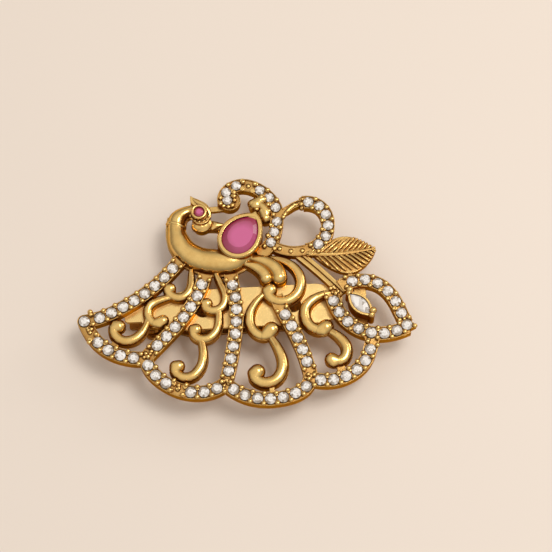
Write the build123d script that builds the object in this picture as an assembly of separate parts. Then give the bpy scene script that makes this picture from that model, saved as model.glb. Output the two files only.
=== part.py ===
from build123d import *
from collections import namedtuple
import math
import os

# Saree pin: an openwork peacock brooch with set stones, soldered to a spring clip.
# Millimetres. The pin lies on its clip, face up, with +Z up.

# Plan size of the ornament: tables below give places in hundredths of these two
WIDTH = 55.0
DEPTH = 38.8

# Levels, from the surface that the clip lies on
BACK_Z = 4.6
SOLDER = 0.05

# The thin foot that every curved bar of the casting stands on
FOOT_H = 0.50
FOOT_GROW = 0.07

# Small round stones and the metal rows that hold them
STONE_D = 1.76
STONE_PITCH = 2.12
TABLE_SHARE = 0.56
CROWN_SHARE = 0.15
GIRDLE_SHARE = 0.04
PAVILION_SHARE = 0.40
SEAT_GAP = 0.06
CULET_GAP = 0.12
ROW_FLOOR = 0.85
ROW_RECESS = 0.24
ROW_WALL = 0.20
RAIL_W = 0.15
RAIL_OVER_GIRDLE = 0.06
PRONG_R = 0.38
PRONG_OUT = 0.40
PRONG_RISE = 0.20
BEAD_R = 0.45
BEAD_LOW = 0.30
BEAD_ROUND = 0.80

# Scrolls, body and lobes: a flat back, straight sides and a round top
SCROLL_SIDE = 1.15
SCROLL_W = 1.74
SCROLL_ROUND = 0.80
BODY_SIDE = 1.45
BODY_W = 4.25
BODY_ROUND = 0.72
BODY_LEDGE = 0.20
BODY_BASE = 0.95
LOBE_W = 2.50

# Head and curl
EYE_D = 1.60
EYE_WALL = 0.32
EYE_TOP = 3.55
HEAD_R = 1.52
HEAD_TOP = 2.75
HEAD_LOBE_R = 1.60
HEAD_LOBE_SIDE = 1.70
HEAD_LOBE_ROUND = 0.35
CREST_TOP = 2.85
CURL_R = 1.80

# Pear stone and its bezel
PEAR_L = 7.30
PEAR_W = 5.45
PEAR_TURN = 54.0
PEAR_POINT = 0.42
PEAR_WALL = 0.70
PEAR_LIP = 0.24
PEAR_TOP = 3.50

# Marquise stone and its tall collet
MARQUISE_L = 4.60
MARQUISE_W = 2.10
MARQUISE_TURN = -46.0
MARQUISE_WALL = 0.34
MARQUISE_TOP = 3.35
COLLET_PRONG_R = 0.52
COLLET_PRONG_OUT = 0.30

# Large stones: table, crown and pavilion as shares of a stone's width
BIG_TABLE = 0.72
BIG_CROWN = 0.10
BIG_GIRDLE = 0.03
BIG_PAVILION = 0.34
BIG_SUNK = 0.22
OPEN_TOP = 2.0
ROUND_SIDES = 12
PEAR_SIDES = 22
MARQUISE_SIDES = 16

# Leaf and stem
LEAF_H = 1.20
LEAF_EDGE = 0.10
VEIN_H = 0.40
VEIN_W = 0.34
VEINS = 12
VEIN_UP = 44.0
VEIN_DOWN = -44.0
LEAF_REACH = 4.0
RIB_W = 0.70
RIB_TAPER = 0.6
VEIN_FIRST = 0.6
STEM_W = 1.50
STEM_H = 1.00
STEM_RIDGE_W = 0.62

# Spring clip, in its own line: X along it, the pin near its rear end
CLIP_X = 0.0
CLIP_Y = -2.40
CLIP_TURN = 3.4
CLIP_REACH = 20.0
PLATE_T = 0.70
PLATE_HALF = 3.40
HOLE_D = 2.80
HOLE_SPAN = 14.7
JAW_T = 0.70
JAW_HALF = 3.10
JAW_FLAT = 8.0
JAW_RAMP = 5.0
JAW_BEND = 0.27
TIP_GAP = 0.12
PIN_X = -16.0
PIN_Z = 2.25
PIN_D = 0.90
PIN_FIT = 0.06
PIN_HEAD_R = 0.62
PIN_HEAD_T = 0.32
PIN_HEAD_TIP = 0.38
EAR_T = 0.45
EAR_R = 1.10
EAR_OUT = 2.50
EAR_GAP = 0.08
SIDE_LOBE_R = 1.15
SIDE_LOBE_OUT = 0.20
SPRING_OD = 2.10
SPRING_WIRE = 0.42
SPRING_FIT = 0.10
SPRING_LEG = 5.0

ROW_TOP = ROW_FLOOR + CULET_GAP + PAVILION_SHARE * STONE_D + RAIL_OVER_GIRDLE
ROW_HALF = STONE_D / 2 + SEAT_GAP + ROW_WALL
PLATE_LOW = BACK_Z + SOLDER - PLATE_T

# Rows of stones. The route's first and last points are the first and last seats.
# lead and tail carry the metal on past them; size is the stones' share of STONE_D;
# empty counts the seats, from the first, whose stone is lost.
Row = namedtuple("Row", "name size lead route tail empty")
ROWS = [
    Row("spoke_1", 1.0, (-19.6, 14.4), [(-22.4, 9.5), (-27.6, 1.6), (-33.9, -5.2), (-43.7, -12.6)],
        (-48.2, -14.2), ()),
    Row("rim_1", 1.0, (-48.2, -14.2), [(-46.4, -19.0), (-44.0, -23.4), (-37.4, -29.0), (-33.4, -30.2)],
        (-29.4, -30.1), (0,)),
    Row("spoke_2", 1.0, (-12.7, 7.0), [(-13.6, 2.3), (-18.8, -12.0), (-23.8, -20.7), (-26.5, -24.8)],
        (-29.6, -29.8), ()),
    Row("rim_2", 1.0, (-29.8, -30.0), [(-29.1, -33.3), (-24.0, -40.9), (-16.5, -45.0), (-8.8, -43.4)],
        (-5.8, -40.2), (3,)),
    Row("spoke_3", 0.97, (-5.0, 7.0), [(-4.5, 2.0), (-3.3, -8.4), (-3.6, -19.3), (-5.4, -35.8)],
        (-6.2, -40.6), ()),
    Row("rim_3", 1.0, (-6.4, -40.8), [(-3.9, -43.8), (3.2, -47.6), (11.0, -47.0), (17.3, -42.5)],
        (18.6, -38.6), ()),
    Row("spoke_4", 1.0, (8.4, -2.4), [(11.1, -11.2), (14.6, -20.8), (17.5, -31.8)],
        (18.6, -37.6), ()),
    Row("rim_4", 1.0, (17.8, -38.2), [(21.5, -39.7), (29.1, -37.9), (34.7, -31.1), (36.1, -26.3)],
        (36.9, -20.6), ()),
    Row("frame_lower", 1.0, (24.6, 0.2), [(25.5, -5.0), (29.9, -14.5), (36.6, -19.1), (44.1, -18.2)],
        (47.4, -16.4), ()),
    Row("frame_upper", 0.97, (27.6, 1.6), [(31.1, 3.7), (38.7, 2.8), (43.8, -5.0), (45.5, -10.3)],
        (47.0, -14.6), ()),
    Row("coil_upper", 0.90, (-7.2, 39.0), [(-6.7, 44.3), (-3.5, 47.4), (4.0, 44.8), (8.3, 37.3)],
        (8.9, 33.6), (2,)),
    Row("coil_lower", 0.90, (8.8, 34.6), [(8.7, 30.9), (6.9, 21.3)], (3.2, 15.6), ()),
    Row("heart", 0.95, (16.5, 39.7), [(18.2, 39.8), (21.5, 38.0), (24.1, 29.5), (21.1, 20.4)],
        (17.4, 18.0), ()),
]

# Stones that stand alone at an end of a row: place, size, and the row that lists them
Single = namedtuple("Single", "row size place")
SINGLES = [
    Single("spoke_1", 1.0, (-48.2, -14.2)),
    Single("frame_lower", 0.97, (47.1, -15.6)),
    Single("coil_upper", 0.90, (-6.3, 40.6)),
]

# Rows of plain beads with no stones: width share of a stone row, route, number of beads
BeadRow = namedtuple("BeadRow", "width route beads")
BEAD_ROWS = [
    BeadRow(0.46, [(8.9, 35.4), (11.6, 36.4), (13.6, 38.3), (15.6, 39.5), (18.2, 39.8)], 0),
    BeadRow(0.76, [(21.1, 20.4), (17.8, 18.2), (13.0, 17.4), (8.0, 19.6)], 4),
]

# Scrolls: widths at the start and at the fullest as shares of SCROLL_W, the rolled end's
# radius as a share of SCROLL_W and its centre, and the route of the middle line
Scroll = namedtuple("Scroll", "name start full roll roll_at route")
SCROLLS = [
    Scroll("first_inner", 0.50, 0.92, 0.51, (-23.0, 0.9),
           [(-16.9, 9.4), (-16.8, 4.3), (-17.1, 0.6), (-19.2, -2.8), (-22.2, -2.5), (-23.7, -0.3)]),
    Scroll("first_middle", 0.60, 0.92, 0.53, (-25.0, -13.4),
           [(-22.6, -2.9), (-26.4, -4.4), (-29.3, -7.6), (-29.3, -11.6), (-27.4, -14.5)]),
    Scroll("first_outer", 0.55, 1.02, 0.61, (-38.0, -15.9),
           [(-29.6, -12.0), (-30.3, -16.6), (-33.0, -21.2), (-36.4, -22.3), (-39.1, -19.6), (-39.5, -16.9)]),
    Scroll("second_inner", 0.50, 0.90, 0.51, (-12.1, -5.8),
           [(-9.6, 9.0), (-7.9, 2.7), (-6.6, -2.6), (-7.8, -7.6), (-10.8, -8.8), (-12.6, -7.0)]),
    Scroll("second_middle", 0.68, 0.90, 0.55, (-15.2, -17.3),
           [(-8.6, -8.2), (-8.5, -13.5), (-9.4, -18.4), (-12.4, -21.5), (-15.2, -20.5), (-16.0, -18.4)]),
    Scroll("second_outer", 0.68, 1.02, 0.54, (-20.1, -33.3),
           [(-13.7, -22.0), (-12.9, -28.0), (-13.9, -34.4), (-17.2, -38.2), (-20.2, -37.2), (-21.2, -34.8)]),
    Scroll("third_middle", 0.50, 1.00, 0.64, (7.4, -16.8),
           [(4.8, -1.6), (1.6, -7.2), (0.6, -13.6), (2.4, -18.6), (5.2, -20.1)]),
    Scroll("third_outer", 0.68, 1.18, 0.69, (3.0, -35.7),
           [(7.0, -20.6), (9.6, -27.2), (10.4, -33.8), (8.2, -39.4), (4.6, -40.5), (2.2, -38.0)]),
    Scroll("fourth_inner", 0.55, 1.10, 0.65, (23.4, -15.6),
           [(25.0, -1.0), (20.2, -3.2), (17.1, -8.4), (17.6, -13.8), (21.2, -17.4)]),
    Scroll("fourth_outer", 0.66, 1.10, 0.62, (24.8, -30.6),
           [(23.9, -17.6), (27.6, -21.2), (29.3, -25.6), (28.4, -30.0), (26.2, -31.0)]),
    Scroll("big", 0.42, 1.06, 0.63, (6.8, 0.4),
           [(3.8, 13.8), (9.6, 13.9), (14.2, 9.8), (15.8, 3.2), (13.4, -3.2), (9.0, -4.7), (6.1, -1.6)]),
]

# The body's middle line from head to breast, with its width as a share of BODY_W
BodySection = namedtuple("BodySection", "x y width")
BODY = [
    BodySection(-15.0, 36.2, 0.38),
    BodySection(-18.6, 35.5, 0.46),
    BodySection(-21.0, 32.8, 0.64),
    BodySection(-21.6, 28.0, 0.64),
    BodySection(-20.4, 20.8, 0.85),
    BodySection(-15.6, 14.6, 0.96),
    BodySection(-9.8, 12.9, 1.00),
    BodySection(-4.4, 13.3, 0.97),
    BodySection(-0.6, 15.6, 0.66),
]

# Lobes: a fat round-topped teardrop each, width share of LOBE_W at start and end, and
# how far its sides stand above a scroll's
Lobe = namedtuple("Lobe", "name start end rise route")
LOBES = [
    Lobe("feather_inner", 0.45, 0.92, 0.35, [(-1.0, 12.2), (3.1, 9.8), (4.8, 7.6), (5.5, 5.4)]),
    Lobe("feather_outer", 0.40, 1.04, 0.45, [(0.8, 14.4), (6.0, 12.2), (8.3, 9.6), (9.4, 5.6)]),
    Lobe("throat_upper", 0.60, 0.98, 0.20, [(4.4, 42.4), (3.4, 40.4), (2.4, 38.8)]),
    Lobe("throat_lower", 0.80, 0.80, 0.20, [(4.5, 36.6), (5.0, 34.6), (5.2, 32.8)]),
    Lobe("beak", 0.66, 0.50, -0.10, [(-12.6, 29.2), (-10.0, 29.0), (-7.2, 28.0)]),
]

# Straight links of metal between two places: width and height
Link = namedtuple("Link", "name start end width height")
LINKS = [
    Link("head_to_curl", (-12.6, 37.0), (-6.4, 38.0), 0.90, 0.85),
    Link("scroll_to_rim_1", (-38.4, -21.4), (-39.8, -26.4), 1.20, 1.00),
    Link("scroll_to_rim_2", (-17.8, -39.0), (-17.8, -43.4), 0.90, 1.00),
    Link("scroll_to_rim_3", (7.2, -40.6), (7.3, -46.0), 0.80, 1.30),
    Link("scroll_to_rim_4", (27.0, -31.4), (28.2, -36.8), 1.30, 1.00),
    Link("leaf_to_frame", (30.2, 10.4), (31.0, 4.0), 0.70, 1.00),
    Link("collet_upper", (33.4, 3.4), (33.4, -6.0), 2.00, 0.90),
    Link("collet_lower", (33.8, -10.0), (34.6, -17.8), 1.60, 0.90),
]

# Beads on the corners where rows meet
CORNER_BEADS = [(-28.2, -27.2), (-29.8, -28.2), (-6.6, -36.4), (-4.6, -37.4), (-7.0, -43.4), (-5.4, -41.0),
                (17.0, -38.4), (19.8, -36.8), (18.6, -41.4), (-46.6, -9.8), (-45.2, -11.0), (35.6, -22.0),
                (14.0, 38.7), (15.6, 39.5)]

# Crest and leaf outlines, and the places of the single forms
CREST_FRONT = [(-17.4, 41.4), (-14.8, 39.6), (-12.3, 37.4), (-11.2, 33.6)]
CREST_BACK = [(-11.2, 33.6), (-13.6, 35.6), (-16.6, 37.4), (-17.4, 41.4)]
LEAF_UPPER = [(19.2, 16.6), (24.7, 22.6), (28.9, 24.5), (33.4, 23.0), (38.4, 18.6)]
LEAF_LOWER = [(38.4, 18.6), (36.2, 12.9), (30.6, 7.9), (25.2, 9.9), (19.2, 16.6)]
LEAF_RIB = [(18.2, 16.6), (25.0, 16.0), (31.2, 16.9), (37.8, 18.5)]
STEM = [(15.2, 16.4), (21.6, 8.4), (28.4, -1.2)]
HEAD_AT = (-14.2, 32.4)
HEAD_LOBE_AT = (-13.9, 30.2)
EYE_AT = (-14.7, 33.4)
CURL_AT = (-5.6, 40.6)
PEAR_AT = (-1.9, 23.4)
MARQUISE_AT = (33.3, -7.7)
FRAME_POINT = [(47.0, -12.2), (50.0, -15.9), (46.4, -18.9), (44.8, -15.4)]

# Plan outlines of the clip's two leaves: place along in hundredths of CLIP_REACH and half
# width in hundredths of the leaf's own
Corner = namedtuple("Corner", "along half")
PLATE = [
    Corner(-101.0, 36), Corner(-99.0, 46), Corner(-87.0, 47), Corner(-85.5, 73), Corner(-73.0, 75),
    Corner(-60.0, 88), Corner(-50.0, 100), Corner(57.0, 100), Corner(70.0, 84), Corner(76.0, 60),
    Corner(78.0, 36),
]
JAW = [
    Corner(-98.5, 38), Corner(-96.5, 47), Corner(-86.5, 48), Corner(-84.0, 80), Corner(-75.0, 80),
    Corner(-58.0, 84), Corner(-51.0, 100), Corner(55.0, 100), Corner(70.0, 80), Corner(74.5, 60),
    Corner(76.0, 40),
]


def at(place, z=0.0):
    """Point for a place given in hundredths of the width and depth."""
    return Vector(WIDTH * place[0] / 100, DEPTH * place[1] / 100, z)


def curve(places, z=0.0):
    """Smooth line through places."""
    return Spline(*[at(place, z) for place in places])


def side_points(path, half, steps):
    """Points beside a line, left and right, where half(t) is half the width at share t."""
    left = []
    right = []
    for step in range(steps + 1):
        t = step / steps
        middle = path @ t
        heading = path % t
        across = Vector(-heading.Y, heading.X, 0).normalized() * half(t)
        left.append(middle + across)
        right.append(middle - across)
    return left, right


def band(path, half, steps):
    """Flat face along a line, with straight ends."""
    left, right = side_points(path, half, steps)
    edges = [Spline(*left), Line(left[-1], right[-1]), Spline(*right[::-1]), Line(right[0], left[0])]
    return make_face(edges)


def raised(face, low, high):
    """Flat face made solid between two heights over the casting's back."""
    return extrude(face, amount=high - low, dir=(0, 0, 1)).moved(Pos(0, 0, BACK_Z + low))


def arched_section(left, right, side, rise):
    """Closed outline with a flat underside in the foot, straight sides and an arched top."""
    low = Vector(0, 0, BACK_Z + FOOT_H / 2)
    high = Vector(0, 0, BACK_Z + side)
    crown = (left + right) * 0.5 + Vector(0, 0, BACK_Z + side + rise)
    edges = [
        Line(left + low, right + low),
        Line(right + low, right + high),
        ThreePointArc(right + high, crown, left + high),
        Line(left + high, left + low),
    ]
    return Wire(edges)


def arched_tube(path, half, side, roundness, steps):
    """Round-topped bar along a line."""
    left, right = side_points(path, half, steps)
    sections = []
    for step in range(steps + 1):
        rise = half(step / steps) * roundness
        sections.append(arched_section(left[step], right[step], side, rise))
    return Solid.make_loft(sections)


def dome(centre, radius, side, roundness):
    """Round post with an arched top, on the casting's back."""
    rise = radius * roundness
    arc_radius = (radius ** 2 + rise ** 2) / (2 * rise)
    arc_z = side + rise - arc_radius
    half_angle = math.asin(min(1.0, radius / arc_radius)) / 2
    middle = (arc_radius * math.sin(half_angle), arc_z + arc_radius * math.cos(half_angle))
    edges = [
        Line((0, 0), (radius, 0)),
        Line((radius, 0), (radius, side)),
        ThreePointArc((radius, side), middle, (0, side + rise)),
        Line((0, side + rise), (0, 0)),
    ]
    profile = Plane.XZ * make_face(edges)
    return revolve(profile, axis=Axis.Z).moved(Pos(centre.X, centre.Y, BACK_Z))


def tapered(start, full):
    """Half width that grows to its fullest two thirds of the way along."""
    def half(t):
        share = start + (full - start) * math.sin(min(1.0, t / 0.62) * math.pi / 2)
        return share * SCROLL_W / 2
    return half


def scroll_solids(scroll):
    """One scroll: a tapered stem that curls and ends in a rolled bulb."""
    path = curve(scroll.route)
    half = tapered(scroll.start, scroll.full)
    tube = arched_tube(path, half, SCROLL_SIDE, SCROLL_ROUND, 12)
    turn = dome(path @ 1, half(1) + FOOT_GROW / 2, SCROLL_SIDE, SCROLL_ROUND)
    roll = dome(at(scroll.roll_at), scroll.roll * SCROLL_W, SCROLL_SIDE, SCROLL_ROUND)
    return [tube, turn, roll]


def scroll_foot(scroll):
    """Flat face under a scroll's stem."""
    half = tapered(scroll.start, scroll.full)
    return band(curve(scroll.route), lambda t: half(t) + FOOT_GROW, 12)


def lobe_half(lobe):
    """Half width of a lobe at a share of its length."""
    def half(t):
        return (lobe.start + (lobe.end - lobe.start) * math.sin(t * math.pi / 2)) * LOBE_W / 2
    return half


def lobe_solids(lobe):
    """A fat teardrop with a round end."""
    path = curve(lobe.route)
    half = lobe_half(lobe)
    side = SCROLL_SIDE + lobe.rise
    end = dome(path @ 1, half(1) + FOOT_GROW / 2, side, SCROLL_ROUND)
    return [arched_tube(path, half, side, SCROLL_ROUND, 8), end]


def lobe_foot(lobe):
    """Flat face under a lobe."""
    half = lobe_half(lobe)
    return band(curve(lobe.route), lambda t: half(t) + FOOT_GROW, 8)


def seats(row):
    """Seat centres along a row, evenly spaced near the stone pitch, and the heading at each."""
    path = curve(row.route)
    gaps = max(1, round(path.length / (STONE_PITCH * row.size)))
    shares = [index / gaps for index in range(gaps + 1)]
    return [(path @ share, path % share) for share in shares]


def stone_seats():
    """Every seat as (row name, stone size, centre, whether it keeps its stone)."""
    found = []
    for row in ROWS:
        for index, (centre, heading) in enumerate(seats(row)):
            found.append((row.name, row.size, centre, index not in row.empty))
    for single in SINGLES:
        found.append((single.row, single.size, at(single.place), True))
    return found


def prong_places(row):
    """Centres of the paired prongs between neighbouring seats of a row."""
    path = curve(row.route)
    gaps = len(seats(row)) - 1
    places = []
    for index in range(gaps):
        share = (index + 0.5) / gaps
        middle = path @ share
        heading = path % share
        across = Vector(-heading.Y, heading.X, 0).normalized() * PRONG_OUT * STONE_D
        places += [middle + across, middle - across]
    return places


def joined(shapes):
    """Shapes fused into one."""
    return shapes[0].fuse(*shapes[1:])


def disc(centre, radius):
    """Flat round face."""
    return make_face(CenterArc((centre.X, centre.Y, 0), radius, 0, 360))


def row_bands(inset):
    """The flat faces of all rows, narrower by inset at each edge."""
    faces = []
    for row in ROWS:
        half = ROW_HALF * (1 - (1 - row.size) / 2) - inset
        path = curve([row.lead] + row.route + [row.tail])
        faces.append(band(path, lambda t, half=half: half, 4 * len(row.route)))
    for bead_row in BEAD_ROWS:
        half = ROW_HALF * bead_row.width - inset
        faces.append(band(curve(bead_row.route), lambda t, half=half: half, 10))
    faces.append(disc(at(SINGLES[0].place), ROW_HALF - inset))
    faces.append(disc(at(CURL_AT), CURL_R - inset))
    point = [at(place) for place in FRAME_POINT]
    centre = sum(point, Vector()) * (1 / len(point))
    shrunk = [centre + (corner - centre) * (1 - inset / ROW_HALF) for corner in point]
    faces.append(make_face(Polyline(*shrunk, close=True)))
    return faces


def stone_rows():
    """The foot of the openwork, and on it the rows' floor, recessed webs and raised rails."""
    outer = joined(row_bands(0.0))
    inner = joined(row_bands(RAIL_W))
    pockets = []
    for name, size, centre, kept in stone_seats():
        if kept:
            pockets.append(disc(centre, size * STONE_D / 2 + SEAT_GAP))
    web = outer.cut(*pockets)
    rail = outer.cut(inner, *pockets)
    feet = [scroll_foot(scroll) for scroll in SCROLLS] + [lobe_foot(lobe) for lobe in LOBES]
    solids = [
        raised(outer.fuse(*feet), 0.0, FOOT_H),
        raised(outer, FOOT_H, ROW_FLOOR),
        raised(web, ROW_FLOOR, ROW_TOP - ROW_RECESS),
        raised(rail, ROW_TOP - ROW_RECESS, ROW_TOP),
    ]
    return solids


def prongs():
    """Prongs between the seats, cut back where they would reach into a seat."""
    pockets = []
    for name, size, centre, kept in stone_seats():
        pockets.append(disc(centre, size * STONE_D / 2 + SEAT_GAP))
    posts = []
    for row in ROWS:
        posts += [disc(place, PRONG_R) for place in prong_places(row)]
    return raised(joined(posts).cut(*pockets), ROW_FLOOR / 2, ROW_TOP + PRONG_RISE)


def clear_of_stones(solid, middle, reach):
    """Solid cut back where it would reach into a seat that keeps its stone."""
    for name, size, centre, kept in stone_seats():
        clear = size * STONE_D / 2 + 2 * SEAT_GAP
        if kept and (centre - middle).length < clear + reach:
            solid = solid.cut(raised(disc(centre, clear), ROW_FLOOR, ROW_TOP + OPEN_TOP))
    return solid


def beads():
    """Plain round beads on the bead rows, on the corners between rows and in lost stones' seats."""
    places = [at(place) for place in CORNER_BEADS]
    places += [centre for name, size, centre, kept in stone_seats() if not kept]
    for row in BEAD_ROWS:
        path = curve(row.route)
        places += [path @ ((index + 0.5) / row.beads) for index in range(row.beads)]
    solids = []
    for place in places:
        bead = dome(place, BEAD_R, ROW_TOP - BEAD_LOW, BEAD_ROUND)
        solids.append(clear_of_stones(bead, place, BEAD_R))
    return solids


def body_line():
    """The body's middle line and its half width at a share of the line's length."""
    middles = [at((section.x, section.y)) for section in BODY]
    path = Spline(*middles)
    shares = [path.param_at_point(middle) for middle in middles]

    def half(t):
        index = max(0, min(len(BODY) - 2, sum(1 for share in shares if share <= t) - 1))
        blend = (t - shares[index]) / (shares[index + 1] - shares[index])
        ease = (1 - math.cos(math.pi * max(0.0, min(1.0, blend)))) / 2
        width = BODY[index].width + (BODY[index + 1].width - BODY[index].width) * ease
        return width * BODY_W / 2
    return path, half


def body_ledge():
    """The step all round the neck and breast."""
    path, half = body_line()
    end = disc(path @ 1, half(1) + BODY_LEDGE)
    return [raised(band(path, lambda t: half(t) + BODY_LEDGE, 16).fuse(end), 0.0, BODY_BASE)]


def body_arch():
    """Round-topped neck and breast."""
    path, half = body_line()
    breast = dome(path @ 1, half(1) + FOOT_GROW / 2, BODY_SIDE, BODY_ROUND)
    return [arched_tube(path, half, BODY_SIDE, BODY_ROUND, 16), breast]


def grown(shape, grow, count):
    """Points round a closed shape, pushed outward."""
    nudge = math.tau / 720
    points = []
    for index in range(count):
        t = math.tau * index / count
        x, y = shape(t)
        ahead = shape(t + nudge)
        behind = shape(t - nudge)
        dx = ahead[0] - behind[0]
        dy = ahead[1] - behind[1]
        length = math.hypot(dx, dy)
        points.append(Vector(x + grow * dy / length, y - grow * dx / length))
    return points


def pear_shape(t):
    """Pear outline, pointed at +X."""
    peak = 2 * math.acos(math.sqrt(1 / (2 + PEAR_POINT)))
    fullest = math.sin(peak) * math.sin(peak / 2) ** PEAR_POINT
    y = math.sin(t) * abs(math.sin(t / 2)) ** PEAR_POINT / fullest
    return PEAR_L / 2 * math.cos(t), PEAR_W / 2 * y


def marquise_shape(t):
    """Boat outline, pointed at both ends."""
    return MARQUISE_L / 2 * math.cos(t), MARQUISE_W / 2 * math.sin(t) * abs(math.sin(t))


def placed(shape, place, turn):
    """Shape turned about Z and moved to a place."""
    centre = at(place)
    return shape.moved(Pos(centre.X, centre.Y, 0) * Rot(0, 0, turn))


def ring_face(shape, grow, count):
    """Flat face inside a smooth closed outline."""
    return make_face(Spline(*grown(shape, grow, count), periodic=True))


def big_depth(width):
    """Depth of the pocket under a large stone."""
    return BIG_SUNK + (BIG_GIRDLE + BIG_PAVILION) * width + CULET_GAP


def pear_bezel():
    """Block with a chamfered lip."""
    block = raised(ring_face(pear_shape, SEAT_GAP + PEAR_WALL, 2 * PEAR_SIDES), 0.0, PEAR_TOP)
    top = block.faces().sort_by(Axis.Z)[-1]
    return placed(chamfer(top.edges(), PEAR_LIP), PEAR_AT, PEAR_TURN)


def pear_pocket():
    """Space for the pear stone."""
    face = ring_face(pear_shape, SEAT_GAP, 2 * PEAR_SIDES)
    return placed(raised(face, PEAR_TOP - big_depth(PEAR_W), PEAR_TOP + OPEN_TOP), PEAR_AT, PEAR_TURN)


def marquise_collet():
    """Tall boat-shaped collet with a ball prong at each end."""
    grow = SEAT_GAP + MARQUISE_WALL
    wall = placed(raised(ring_face(marquise_shape, grow, 2 * MARQUISE_SIDES), 0.0, MARQUISE_TOP),
                  MARQUISE_AT, MARQUISE_TURN)
    balls = []
    for end in (-1, 1):
        reach = Vector(end * (MARQUISE_L / 2 + COLLET_PRONG_OUT), 0).rotate(Axis.Z, MARQUISE_TURN)
        balls.append(dome(at(MARQUISE_AT) + reach, COLLET_PRONG_R, MARQUISE_TOP, BEAD_ROUND))
    return [wall] + balls


def marquise_pocket():
    """Space for the boat-shaped stone."""
    face = ring_face(marquise_shape, SEAT_GAP, 2 * MARQUISE_SIDES)
    block = raised(face, MARQUISE_TOP - big_depth(MARQUISE_W), MARQUISE_TOP + OPEN_TOP)
    return placed(block, MARQUISE_AT, MARQUISE_TURN)


def eye_depth():
    """Depth of the pocket under the eye stone."""
    return (GIRDLE_SHARE + PAVILION_SHARE) * EYE_D + CULET_GAP + SEAT_GAP


def head_solids():
    """Head: a drum, a low lobe before it, the eye's bezel and the crest."""
    crest = make_face([curve(CREST_FRONT), curve(CREST_BACK)])
    return [
        raised(disc(at(HEAD_AT), HEAD_R), 0.0, HEAD_TOP),
        dome(at(HEAD_LOBE_AT), HEAD_LOBE_R, HEAD_LOBE_SIDE, HEAD_LOBE_ROUND),
        raised(disc(at(EYE_AT), EYE_D / 2 + SEAT_GAP + EYE_WALL), 0.0, EYE_TOP),
        raised(crest, 0.0, CREST_TOP),
    ]


def eye_pocket():
    """Space for the eye stone."""
    return raised(disc(at(EYE_AT), EYE_D / 2 + SEAT_GAP), EYE_TOP - eye_depth(), EYE_TOP + OPEN_TOP)


def bar_face(start, end, width):
    """Flat straight bar between two points."""
    return band(Line(start, end), lambda t: width / 2, 1)


def link_solids():
    """Straight links."""
    solids = []
    for link in LINKS:
        solids.append(raised(bar_face(at(link.start), at(link.end), link.width), 0.0, link.height))
    return solids


def leaf_solids():
    """Leaf blade with a raised midrib and slanting veins."""
    blade = make_face([curve(LEAF_UPPER), curve(LEAF_LOWER)])
    rib = curve(LEAF_RIB)
    bars = []
    for index in range(VEINS):
        foot = rib @ ((index + VEIN_FIRST) / VEINS)
        heading = rib % ((index + VEIN_FIRST) / VEINS)
        for turn in (VEIN_UP, VEIN_DOWN):
            way = Vector(heading.X, heading.Y).rotate(Axis.Z, turn)
            bars.append(bar_face(foot, foot + way * LEAF_REACH, VEIN_W))
    veins = blade.intersect(joined(bars))
    midrib = band(rib, lambda t: RIB_W / 2 * (1 - RIB_TAPER * t), 12)
    solids = [
        raised(blade, 0.0, LEAF_H),
        raised(Sketch() + veins, LEAF_H / 2, LEAF_H + VEIN_H),
        raised(midrib, LEAF_H / 2, LEAF_H + VEIN_H + LEAF_EDGE),
    ]
    return [clear_of_stones(joined(solids), rib @ 0.5, rib.length / 2)]


def stem_solids():
    """Double stem: a flat strip with two ridges."""
    path = curve(STEM)
    groove = band(path, lambda t: STEM_W / 2 - STEM_RIDGE_W, 6)
    strip = band(path, lambda t: STEM_W / 2, 6)
    return [raised(strip, 0.0, STEM_H), raised(strip.cut(groove), STEM_H, STEM_H + STEM_RIDGE_W / 2)]


def in_clip(shape):
    """Shape moved from the clip's own line to its place under the ornament."""
    return shape.moved(Pos(CLIP_X, CLIP_Y, 0) * Rot(0, 0, CLIP_TURN))


def leaf_outline(corners, half):
    """Flat face of one of the clip's leaves."""
    side = [Vector(CLIP_REACH * corner.along / 100, half * corner.half / 100) for corner in corners]
    mirror = [Vector(point.X, -point.Y) for point in side[::-1]]
    return make_face(Polyline(*side, *mirror, close=True))


def crossways(radius, width, z):
    """Rod across the clip at the pin's place along it."""
    return Cylinder(radius, width).moved(Pos(PIN_X, 0, z) * Rot(90, 0, 0))


def ear(side, thickness, foot):
    """One ear round the pin, joined to a leaf at the height foot."""
    tall = foot - PIN_Z
    web = Box(2 * EAR_R, thickness, abs(tall)).moved(Pos(PIN_X, side, PIN_Z + tall / 2))
    round_end = crossways(EAR_R, thickness, PIN_Z).moved(Pos(0, side, 0))
    hole = crossways(PIN_D / 2 + PIN_FIT, thickness * 2, PIN_Z).moved(Pos(0, side, 0))
    return web.fuse(round_end).cut(hole)


def clip_plate():
    """Upper leaf of the clip: two round holes, a rear tongue and two ears for the pin."""
    face = leaf_outline(PLATE, PLATE_HALF)
    holes = [disc(Vector(end * HOLE_SPAN / 2, 0), HOLE_D / 2) for end in (-1, 1)]
    flat = extrude(face.cut(*holes), amount=PLATE_T, dir=(0, 0, 1)).moved(Pos(0, 0, PLATE_LOW))
    place = EAR_OUT - EAR_T / 2
    ears = [ear(side * place, EAR_T, PLATE_LOW + PLATE_T / 2) for side in (-1, 1)]
    return in_clip(joined([flat] + ears))


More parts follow.
